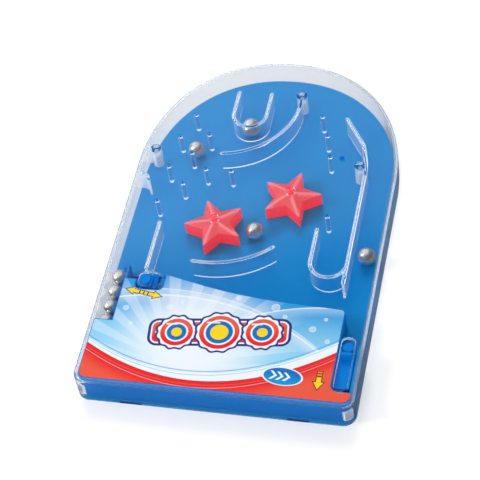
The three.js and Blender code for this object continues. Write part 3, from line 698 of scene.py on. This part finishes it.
# The roof is dimpled over each pin's root and the dimple tinted deep blue: a painted shade for
# the dark disc seen down each pin.
dimple_radius, dimple_depth = 1.35, 0.05
dimple_levels = (case_height - dimple_depth, case_height + 1)
dimple = straight_sided("dimple", circle(dimple_radius, 32), *dimple_levels)
repeated("dimples", dimple, pin_places, clear_roots, cutters)

boss_places = [spot(0.143, 0.785), spot(0.709, 0.361), (-67.1, 45.549)]
boss_radius, boss_tip, boss_root = 3.2, 0.15, 0.2
boss = hanging("boss", round_bar(boss_radius, 64), playfield, boss_tip, boss_root)
# The bosses are painted white all over, as painted glints.
repeated("bosses", boss, boss_places, clear_bosses, hangers)
boss_bore, boss_bore_end = 1.3, 12
boss_hole = straight_sided("boss_hole", circle(boss_bore, 40), playfield - 1, boss_bore_end)
repeated("boss_holes", boss_hole, boss_places, clear_bosses, cutters)


def levels(node):
    """The levels of a CAD solid's underside and top."""
    return [corner.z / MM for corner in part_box(node)]


def plan_middle(node):
    """The middle of a CAD solid, seen from above."""
    middle = sum(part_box(node), Vector()) / 2 / MM
    return middle.x, middle.y


star_places = {side: plan_middle("star_axle_" + side) for side in ("left", "right")}
run_gap = 0.3
star_boss_low = levels("star_left")[1] + run_gap
star_boss_radius, star_boss_tip, star_boss_root = 2.8, 0.2, 0.15
star_bar = round_bar(star_boss_radius, 56)
star_boss = hanging("star_boss", star_bar, star_boss_low, star_boss_tip, star_boss_root)
repeated("star_bosses", star_boss, star_places.values(), clear_sheet, hangers)
socket_radius, socket_end = 1.6, 16
star_socket = straight_sided("star_socket", circle(socket_radius, 40), playfield, socket_end)
repeated("star_sockets", star_socket, star_places.values(), clear_sheet, cutters)

post_radius, post_round, post_draft, post_top = 2.8, 0.8, 0.1, 11.7
post_inset = wall + run_gap + post_radius
post = hanging("post", round_bar(post_radius, 56), tip_level, post_round, 0, post_draft, post_top)
post_places = [(side * (half_width - post_inset), post_inset - half_length) for side in (-1, 1)]
# The corner posts are painted white all over, as painted glints.
clear_posts = clear_paint("clear_posts", bar_tint, boss_body, (-1, 0, 0.8), pale, 2e-5, True)
repeated("corner_posts", post, post_places, clear_posts, hangers)


def straight(across, start, stop, steps):
    """Evenly spaced points on a line that runs along the case."""
    return [(across, start + (stop - start) * i / steps) for i in range(steps + 1)]


def spline(knots, steps):
    """A smooth line through knots, as Catmull and Rom draw it."""
    knots = [np.array(k, float) for k in knots]
    line = []
    for i in range(len(knots) - 1):
        a, b, c, d = (knots[min(max(i + j, 0), len(knots) - 1)] for j in (-1, 0, 1, 2))
        for t in np.arange(steps) / steps:
            cubic = (3 * b - a - 3 * c + d) * t**3
            square = (2 * a - 5 * b + 4 * c - d) * t**2
            line.append(tuple(0.5 * (2 * b + (c - a) * t + square + cubic)))
    return line + [tuple(knots[-1])]


cup = spot(-0.229, 0.641)
cup_radius, cup_length = 9.8, 17.1
cup_end = cup[1] + cup_length
cup_line = straight(cup[0] - cup_radius, cup_end, cup[1], 12)[:-1]
cup_line += corner_arc(cup, cup_radius, 180, 180, 40)
cup_line += straight(cup[0] + cup_radius, cup[1], cup_end, 12)[1:]

long_radius, long_start, long_end = 43.5, -84, 8
c, s = heading(long_end)
long_centre = (boss_places[0][0] - long_radius * c, boss_places[0][1] - long_radius * s)
long_line = corner_arc(long_centre, long_radius, long_start, long_end - long_start, 60)
low_radius, low_start, low_sweep = 52.4, -97, 50.5
low_line = corner_arc(spot(-0.285, 0.146), low_radius, low_start, low_sweep, 44)

divider_knots = [spot(*shares) for shares in (
    (0.539, 0.651), (0.635, 0.559), (0.705, 0.488), (0.745, 0.395), (0.758, 0.345), (0.761, 0.29),
)]
divider_end = spot(0.761, -0.34)
divider_line = spline(divider_knots, 10)
divider_line += straight(divider_end[0], divider_line[-1][1], divider_end[1], 10)[1:]
hook_radius, hook_length = 10.15, 22.2
hook_top = -0.046 * half_length
hook_centre = (divider_end[0] - hook_radius, hook_top - hook_length)
hook_line = straight(hook_centre[0] - hook_radius, hook_top, hook_centre[1], 12)[:-1]
hook_line += corner_arc(hook_centre, hook_radius, 180, 180, 40)
gutter_top, gutter_end = spot(-0.697, -0.077), spot(-0.697, -0.349)
gutter_step = (gutter_top[0], -0.295 * half_length)
gutter_tail_level = 5
wedge_shares = ((-0.988, 0.217), (-0.935, 0.216), (-0.896, 0.204), (-0.877, 0.178))
rails = {
    "cup": cup_line,
    "long_rail": long_line,
    "low_rail": low_line,
    "divider": divider_line,
    "hook": hook_line,
    "gutter": [gutter_top, gutter_step],
    "gutter_tail": [gutter_top, gutter_end],
    "wedge": [spot(*shares) for shares in wedge_shares],
    "web": [(-half_width + wall / 2, boss_places[2][1]), boss_places[2]],
}
rail_half, rail_tip_round, rail_root_round, rail_draft = 0.8, 0.35, 0.3, 0.06
for name, line in rails.items():
    at_wall = name in ("wedge", "web")
    low = gutter_tail_level if name == "gutter_tail" else tip_level
    root = 0 if at_wall else rail_root_round
    rail = hanging(
        name, lambda inset: strip(line, rail_half - inset), low, rail_tip_round, root, rail_draft
    )
    # The rails at the wall are painted white all over, as painted glints; the others only where
    # seen edge-on, as highlight lines.
    rail.data.materials.append(clear_bosses if at_wall else clear_rails)

lug_reach, lug_half, lug_front, lug_back, lug_top = 45, 6, 0.9, 3.4, 1.2
for side in (-1, 1):
    across = (side * lug_reach - lug_half, side * lug_reach + lug_half)
    plan = oblong(*across, lug_front - half_length, lug_back - half_length)
    lug = straight_sided(f"lug_{side}", plan, foot, lug_top, hangers)
    lug.data.materials.append(clear_roots)

shell = high_edge(lambda inset: case_outline(wall + inset), roof_under, inner_round, 5)[::-1]
shell += low_edge(lambda inset: case_outline(wall - inset), foot, foot_round, 3)[::-1]
shell += low_edge(case_outline, foot, foot_round, 3)
shell += high_edge(case_outline, case_height, edge_round, 8)
cover = stacked("clear_cover_moulded", shell)


def rounded_box(box, grow, steps=12):
    """The plan of an opening with round corners: left, right, front, back and radius."""
    left, right, front, back, radius = box
    radius += grow
    middle = ((left + right) / 2, (front + back) / 2)
    reach = ((right - left) / 2 + grow - radius, (back - front) / 2 + grow - radius)
    points = []
    for i, (across, along) in enumerate(((1, 1), (-1, 1), (-1, -1), (1, -1))):
        corner = (middle[0] + across * reach[0], middle[1] + along * reach[1])
        points += corner_arc(corner, radius, 90 * i, 90, steps)
    return points


slot_edge = 0.5
openings = {
    "finger_slot": (62.7, 69.9, -110.2, -77.0, 3),
    "lock_slot": (-54.5, -41.5, -54.2, -45.4, 4.3),
}
for name, box in openings.items():
    rings = [(rounded_box(box, 0), roof_under - 1)]
    rings += high_edge(lambda grow: rounded_box(box, grow), case_height, slot_edge, 4)
    rings.append((rounded_box(box, slot_edge), case_height + 1))
    slot = stacked(name, rings, cutters)
    slot.data.materials.append(clear_slots)
mark_radius = 1.6
mark = circle(mark_radius, 48, spot(0.564, 0.393))
gate_mark = straight_sided("gate_mark", mark, *dimple_levels, cutters)
gate_mark.data.materials.append(clear_roots)

cover.data.materials.append(clear_sheet)
carved(cover, UNION=hangers, DIFFERENCE=cutters)
for paint in (clear_edges, clear_tips):
    cover.data.materials.append(paint)
names = [paint.name for paint in cover.data.materials]
# The rounded tips of the pins and rails take clear_tips, painted white with a painted glow as the
# highlight where they end; the root fillets of the rails take clear_edges, painted white as
# highlight lines.
tip_rise = 0.65
for face in cover.data.polygons:
    level = face.center.z / MM
    paint_name = names[face.material_index]
    tip = level < tip_level + tip_rise and -0.95 < face.normal.z < -0.05
    root = 0 < roof_under - level < rail_root_round
    if tip and paint_name in (clear_pins.name, clear_rails.name):
        face.material_index = names.index(clear_tips.name)
    elif root and paint_name == clear_rails.name:
        face.material_index = names.index(clear_edges.name)
finished(cover, None, "case", ["clear_cover"])

# Each star turns on a short clear pin with domed ends, pressed into the tray and held at the
# top in a boss of the cover. The pin is tinted pink and given a painted red glow, as painted
# light for the red of the star seen through it.
axle_radius = 1.5
dome = 0.35
for side, place in star_places.items():
    low, high = levels("star_axle_" + side)
    plan_at = round_bar(axle_radius, 48, place)
    rings = low_edge(plan_at, low, dome, 4) + high_edge(plan_at, high, dome, 4)
    axle = stacked("star_axle_" + side + "_turned", rings)
    finished(axle, clear_axles, "case", ["star_axle_" + side])

# The star spinners are red mouldings with five ridged arms round a flat hub. They are glossy,
# and the plastic lets so much light through that it seems lit from within, which a painted red
# glow stands for: weak on the tops and stronger on the upright sides, as painted light that
# brightens them. The tops are also painted lighter towards each ridge, as a painted highlight.
red_deep = (0.5, 0.01, 0.016)
red_light = (0.58, 0.016, 0.024)
red_plastic = moulded_paint("red_plastic", red_deep, red_light, 0.22, 0.9, 0.3, 3e-6)
tree = red_plastic.node_tree
shader = tree.nodes["Principled BSDF"]
# Painted highlight: the tops turn a lighter pink towards each arm's ridge.
ridge = tree.nodes.new("ShaderNodeAttribute")
ridge.attribute_name = "ridge"
lighter = Field(tree, ridge.outputs["Fac"]).ramp(0.5, 1.0, 0, 0.7)
plain_red = shader.inputs["Base Color"].links[0].from_socket
ridge_highlight_red = blend_colours(lighter, plain_red, (0.78, 0.22, 0.26))
# Painted light: the glow is stronger where a face stands upright, so the sides read brighter.
facing = tree.nodes.new("ShaderNodeNewGeometry")
on_side = axes_of(tree, facing.outputs["Normal"])[2].ramp(0.2, 0.7, 1, 0)
painted_side_glow = blend_colours(on_side, (0.26, 0.006, 0.009), (0.6, 0.0, 0.0))
wired(shader, Base_Color=ridge_highlight_red, Emission_Color=painted_side_glow, Emission_Strength=1)
star_radius = 17.8
star_notch = 8.3
star_tip_round = 0.35
star_notch_round = 0.5
star_side_edge = 0.3
star_hub = 3.4
star_bore = 1.8
star_bore_edge = 0.1
star_crown_rise = 1.8
star_arms = 5
star_turns = {"left": 43.6, "right": 7.5}


def star_outline(shrink):
    """The arms with small round tips and notches, as a plan about the hub."""
    corners = []
    for i in range(2 * star_arms):
        radius = star_notch if i % 2 else star_radius
        corners.append(radius * np.array(heading(180 / star_arms * i)))
    points = []
    for i, corner in enumerate(corners):
        back = corners[i - 1] - corner
        ahead = corners[(i + 1) % len(corners)] - corner
        back /= np.hypot(*back)
        ahead /= np.hypot(*ahead)
        half = math.acos(np.clip(back @ ahead, -1, 1)) / 2
        size = star_notch_round if i % 2 else star_tip_round
        radius = size + shrink if i % 2 else size - shrink
        middle = (back + ahead) / np.hypot(*(back + ahead))
        centre = corner + middle * size / math.sin(half)
        first = corner + back * size / math.tan(half) - centre
        last = corner + ahead * size / math.tan(half) - centre
        start, stop = bearing(*first), bearing(*last)
        sweep = (stop - start + 180) % 360 - 180
        points += [np.array(p) for p in corner_arc(centre, radius, start, sweep, 10)]
    return points


def hub_ring(radius):
    """A ring about the hub with a point for each point of the outline."""
    return [p / np.hypot(*p) * radius for p in star_outline(star_side_edge)]


for side, angle in star_turns.items():
    place = star_places[side]
    low, high = levels("star_" + side)
    shoulder = high - star_crown_rise
    profile = [(hub_ring(star_bore), low)]
    profile += low_edge(star_outline, low, star_side_edge, 3)
    profile += high_edge(star_outline, shoulder, star_side_edge, 4)
    profile += [
        (hub_ring(star_hub), high - star_bore_edge / 2),
        (hub_ring(star_hub - star_bore_edge), high),
        (hub_ring(star_bore + star_bore_edge), high),
        (hub_ring(star_bore), high - star_bore_edge),
    ]
    c, s = heading(angle)
    rings = [
        ([(place[0] + c * x - s * y, place[1] + s * x + c * y) for x, y in plan], z)
        for plan, z in profile
    ]
    star = stacked("star_" + side + "_moulded", rings, bored=True)
    # Each top corner gets its nearness to the arm's ridge line, for the painted ridge highlight.
    ridge_highlight = star.data.attributes.new("ridge", "FLOAT", "POINT")
    for vertex in star.data.vertices:
        x, y = vertex.co.x / MM - place[0], vertex.co.y / MM - place[1]
        turn = (bearing(x, y) - angle) / (360 / star_arms) % 1
        on_top = vertex.co.z / MM > shoulder - star_side_edge
        ridge_highlight.data[vertex.index].value = abs(2 * turn - 1) if on_top else 0
    finished(star, red_plastic, "star_" + side, ["star_" + side], limit=3)

# The balls are steel, eight alike: ground and tumbled rather than mirror bright, so that they
# look pale grey all round, with the faintest turning marks.
steel, tree, shader = new_paint("ball_steel")
place = object_place(tree)
smear = noise(tree, place, 2.2, 4, 0.6)
bright = blend_colours(smear, (0.62, 0.61, 0.6), (0.74, 0.735, 0.73))
wired(shader, Metallic=0.9, Base_Color=bright, Roughness=smear * 0.12 + 0.17)
bumped(shader, noise(tree, place, 0.3, 2), 4e-7)
for name in sorted(node for node in frame["nodes"] if node.startswith("ball_")):
    low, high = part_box(name)
    place = Matrix.Translation((low + high) / 2)
    mesh = bpy.data.meshes.new(name + "_ground")
    work = bmesh.new()
    radius = (high.z - low.z) / 2
    bmesh.ops.create_uvsphere(work, u_segments=64, v_segments=32, radius=radius, matrix=place)
    work.to_mesh(mesh)
    work.free()
    finished(placed(mesh.name, mesh), steel, name, [name], limit=60)

# The plunger is a blue plate with a round striker at its front and a ridge for the fingertip,
# moulded in one piece. It slides in the bay at the right and rides on the spring behind it.
moulded("plunger", 0.2 * MM, deck_blue, "plunger")

# The lock is a flat gate in a groove of the tray with a dished thumb button pressed onto its
# peg, which stands in the rounded opening of the roof.
moulded("lock_gate", 0.15 * MM, deck_blue, "lock")
moulded("lock_button", 0.2 * MM, deck_blue, "lock")

# The plunger's spring is wound from thin drawn steel wire, with its two end turns closed. It
# stands between the tray's seat and the plunger. In the game it shortens as the plunger is
# pulled; here it keeps its length and stays in place.
wire_steel, tree, shader = new_paint("wire_steel")
drawn = noise(tree, object_place(tree), 0.8, 4, 0.6)
zinc = blend_colours(drawn, (0.44, 0.45, 0.46), (0.6, 0.61, 0.62))
wired(shader, Metallic=1, Base_Color=zinc, Roughness=drawn * 0.2 + 0.2)
bumped(shader, drawn, 1e-6)

winding, given = new_tree(
    "wound_spring", "Spring", Turns="Float", Coil_Radius="Float", Wire_Radius="Float",
    Length="Float", Place="Vector", Finish="Material"
)
coil = added(winding, "GeometryNodeCurveSpiral", Resolution=40, Height=0)
around = given["Coil Radius"]
wired(coil, Rotations=given["Turns"], Start_Radius=around, End_Radius=around)
share = winding.nodes.new("GeometryNodeSplineParameter")
climb = Field(winding, share.outputs["Factor"]).ramp(0, 1, 0, given["Length"])
rise = added(winding, "ShaderNodeCombineXYZ", Z=climb)
raised = added(winding, "GeometryNodeSetPosition", Geometry=coil.outputs["Curve"])
wired(raised, Offset=rise.outputs["Vector"])
section = added(winding, "GeometryNodeCurvePrimitiveCircle", Resolution=14)
wired(section, Radius=given["Wire Radius"])
wire = added(winding, "GeometryNodeCurveToMesh", Curve=raised.outputs["Geometry"])
wired(wire, Profile_Curve=section.outputs["Curve"], Fill_Caps=True)
laid = added(winding, "GeometryNodeTransform", Geometry=wire.outputs["Mesh"])
wired(laid, Rotation=(math.radians(-90), 0, 0), Translation=given["Place"])
end_tree(winding, laid.outputs["Geometry"], given["Finish"])

wire_radius = 0.4 * MM
spring_low, spring_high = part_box("plunger_spring")
spring_axis = (spring_low + spring_high) / 2
spring = placed("plunger_spring_wound", bpy.data.meshes.new("spring"))
made_by(
    spring, winding, Turns=9.0, Wire_Radius=wire_radius, Finish=wire_steel,
    Coil_Radius=(spring_high.x - spring_low.x) / 2 - wire_radius,
    Length=spring_high.y - spring_low.y - 2 * wire_radius,
    Place=(spring_axis.x, spring_low.y + wire_radius, spring_axis.z),
)
finished(spring, wire_steel, None, ["plunger_spring"], limit=60)
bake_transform(spring)

# The screws are zinc-plated pan heads with a cross recess, five alike, driven up from under the
# tray: three into the bosses of the cover and two into those of the deck.
screw_low, screw_high = levels("cover_screw_1")
head_radius = 2.6
head_high = screw_low + 1.3
pan_round = 0.6
head_edge = 0.05
shank_radius = 1.2
shank_end_radius = 0.25
threads = 7
thread_depth = 0.22
thread_half = 0.35
thread_start = 0.8
bare_length = 2
cross_half = 0.3
cross_reach = 1.6
cross_depth = 0.7
cross_taper = 0.6
rings = low_edge(round_bar(head_radius), screw_low, pan_round, 5)
rings += [(circle(head_radius - head_edge), head_high), (circle(shank_radius), head_high)]
thread_root = circle(shank_radius - thread_depth)
for i in range(threads):
    level = head_high + thread_start + i * (screw_high - head_high - bare_length) / threads
    rings += [(thread_root, level), (circle(shank_radius), level + thread_half)]
    rings.append((thread_root, level + 2 * thread_half))
rings.append((circle(shank_end_radius), screw_high))
screw = stacked("screw", rings)
recess = bpy.data.collections.new("recess")
for wide, deep in ((cross_half, cross_reach), (cross_reach, cross_half)):
    bar = oblong(-wide, wide, -deep, deep)
    tip = [(x * cross_taper, y * cross_taper) for x, y in bar]
    bars = [(bar, screw_low - 1), (bar, screw_low), (tip, screw_low + cross_depth)]
    stacked("cross", bars, recess)
carved(screw, DIFFERENCE=recess)
screw_names = sorted(node for node in frame["nodes"] if "screw" in node)
screws = repeated("screws", screw, map(plan_middle, screw_names), wire_steel)
finished(screws, wire_steel, "case", screw_names)

# The label is a sheet of coated paper stuck on the deck and printed in full colour: a pale sky
# with rays, a red wave with a white band, three round targets on a ribbon, and the marks that
# show how the lock and the plunger are moved.
class Drawing:
    """A print made shape over shape, in millimetres as seen from above."""

    def __init__(self, tree, ground):
        self.x, self.y = axes_of(tree, object_place(tree))[:2]
        self.colour = ground

    def tint(self, amount, colour):
        """Mixes a colour in, by an amount between zero and one."""
        self.colour = blend_colours(amount, self.colour, colour)

    def lay(self, shape, colour, soft=0.16, strength=1.0):
        """Fills a shape, which is a distance that is below zero inside it."""
        inside = (shape * (-1 / soft) + 0.5).clamped()
        self.tint(inside * strength, colour)

    def turned(self, middle, angle):
        """Distances along and across a line through a point."""
        c, s = heading(angle)
        across, along = self.x - middle[0], self.y - middle[1]
        return across * c + along * s, along * c - across * s

    def round(self, middle, radius):
        """The distance to a circle about a point."""
        return disc(self.x - middle[0], self.y - middle[1], radius)


def disc(x, y, radius):
    """The distance to a circle about the zero of two axes."""
    return (x * x + y * y).apply("SQRT") - radius


def lozenge(x, y, reach, half, radius):
    """The distance to a box with round corners."""
    x = (abs(x) - (reach - radius)).apply("MAXIMUM", 0)
    y = (abs(y) - (half - radius)).apply("MAXIMUM", 0)
    return disc(x, y, radius)


def line_of(shape, half):
    """A line along the edge of a shape."""
    return abs(shape) - half


def arrow(along, across, reach, head, spread, shaft, tail):
    """The distance to an arrow that points along an axis."""
    slope = spread / head
    across = abs(across)
    side = (across - (reach - along) * slope) * (1 / math.hypot(1, slope))
    point = side.apply("MAXIMUM", (reach - head) - along)
    stem = (across - shaft).apply("MAXIMUM", along - reach + head)
    return point.apply("MINIMUM", stem.apply("MAXIMUM", -along - tail))


label_print, tree, shader = new_paint("printed_sheet")
white_ink = (0.9, 0.93, 0.95)
navy_ink = (0.02, 0.03, 0.22)
red_ink = (0.84, 0.014, 0.02)
coral_ink = (0.87, 0.1, 0.05)
yellow_ink = (1.0, 0.66, 0.005)
orange_ink = (0.95, 0.3, 0.01)
black_ink = (0.012, 0.012, 0.016)
sky_ink = (0.0, 0.3, 0.68)
pale_ink = (0.3, 0.66, 0.88)
badge_ink = (0.0, 0.16, 0.5)
drawing = Drawing(tree, pale_ink)
x, y, lay, tint = drawing.x, drawing.y, drawing.lay, drawing.tint
tint(y.ramp(-94, -52), sky_ink)
ray_count = 26
burst_x, burst_y = drawing.turned((-24, -104), 0)
rays = (burst_y.apply("ARCTAN2", burst_x) * ray_count).apply("SINE").ramp(-0.15, 0.15)
reach = disc(burst_x, burst_y, 0)
rays = rays * reach.ramp(12, 34) * reach.ramp(52, 78, 1, 0)
tint(rays * 0.3, white_ink)
tint(drawing.round((-16, -88), 0).ramp(14, 52, 0.95, 0), white_ink)
for middle, radius, width, strength in (
    ((-30, -190), 131, 0.5, 0.75), ((-34, -188), 133, 0.25, 0.6), ((60, -176), 118, 0.4, 0.7),
):
    curve = drawing.round(middle, radius)
    lay(line_of(curve, width), white_ink, 0.5, strength)
    tint(curve.ramp(-7, 0) * curve.ramp(0, 0.4, 1, 0) * (strength * 0.45), white_ink)
for middle, radius in (
    ((24, -61), 2.2), ((30, -66.5), 1.1), ((46, -73), 1.7), ((52, -66), 0.9), ((3, -57), 1.3),
    ((-33, -67), 1.6), ((-27, -63), 0.8), ((55, -80), 1.2), ((-52, -80), 1.0), ((-57, -70), 1.5),
):
    bubble = drawing.round(middle, radius)
    lay(bubble, white_ink, 0.5, 0.4)
    lay(line_of(bubble, 0.14), white_ink, 0.2, 0.85)

# Red wave, white band and stripes along the front of the label
wave = (x + 12) * (1 / 74)
wave = y - (wave * wave * 27 - 112.5)
band = x.ramp(-72, 62, 3.0, 6.5)
lay(line_of(wave - band - 1.3, 0.32), sky_ink, 0.2, 0.7)
lay(wave - band, white_ink)
lay(line_of(wave - band + 1.1, 0.22), pale_ink, 0.2)
lay(wave, blend_colours(wave.ramp(-14, -3), coral_ink, red_ink))
lay(line_of(wave + 2.6, 0.3), coral_ink, 0.4, 0.8)
lay(line_of(wave + 4.4, 0.16), white_ink, 0.2, 0.5)

# Three round targets with scalloped rims on a ribbon
along, across = drawing.turned((-3, -80.5), 6)
ribbon = lozenge(along, across, 37, 7.5, 4)
ribbon_red = blend_colours(across.ramp(-6, 6), red_ink, coral_ink)
lay(ribbon - 1.5, navy_ink)
lay(ribbon, white_ink)
lay(ribbon + 0.9, ribbon_red)
lay(line_of(across, 0.5).apply("MAXIMUM", ribbon + 2.5), white_ink)
scallops = 12
for step, size in ((-23, 10.2), (0, 12.2), (23, 10.2)):
    u, v = along - step, across
    rim = disc(u, v, size) + (v.apply("ARCTAN2", u) * scallops).apply("COSINE") * 0.45
    lay(rim - 1.2, navy_ink)
    lay(rim, white_ink)
    for inset, ink in ((1.4, ribbon_red), (3.9, white_ink), (4.9, badge_ink), (7.3, yellow_ink)):
        lay(disc(u, v, size - inset), ink)
    glint = lozenge(u + size * 0.3, v - size * 0.52, size * 0.3, 0.5, 0.5)
    lay(glint, white_ink, 0.5, 0.85)

# A badge with chevrons, and the arrows of the lock and of the plunger
u, v = drawing.turned((35.5, -104.5), -4)
badge = disc(u * 0.52, v, 5.2)
lay(badge - 0.5, white_ink)
lay(badge, blend_colours(v.ramp(-4, 4), sky_ink, badge_ink))
for step in (-3.6, 0, 3.6):
    chevron = line_of((u - step) + abs(v), 0.75)
    lay(chevron.apply("MAXIMUM", abs(v) - 2.6), white_ink)
u, v = drawing.turned((-49.6, -59.0), -9)
both_ways = arrow(abs(u), v, 10.2, 4.4, 2.3, 1.0, 0)
lay(both_ways - 0.45, black_ink)
lay(both_ways, yellow_ink)
for step in (-2.4, 0, 2.4):
    lay(lozenge(u - step, v, 0.35, 1.0, 0.1), black_ink)
u, v = drawing.turned((54.6, -105), -90)
down = arrow(u, v, 5.4, 4.4, 2.7, 1.25, 2.2)
lay(down - 0.45, black_ink)
lay(down, yellow_ink)
for step in (3.6, 5.2):
    bar = lozenge(u + step, v, 0.5, 1.3, 0.1)
    lay(bar - 0.35, black_ink)
    lay(bar, orange_ink)

place = object_place(tree)
fibre = noise(tree, place, 0.6, 3, 0.6)
wired(shader, Base_Color=drawing.colour, Roughness=fibre * 0.12 + 0.24)
wired(shader, Specular_IOR_Level=0.3)
bumped(shader, fibre + noise(tree, place, 14, 2) * 8, 2e-6)
moulded("label_sheet", 0.05 * MM, label_print, "case", segments=1)
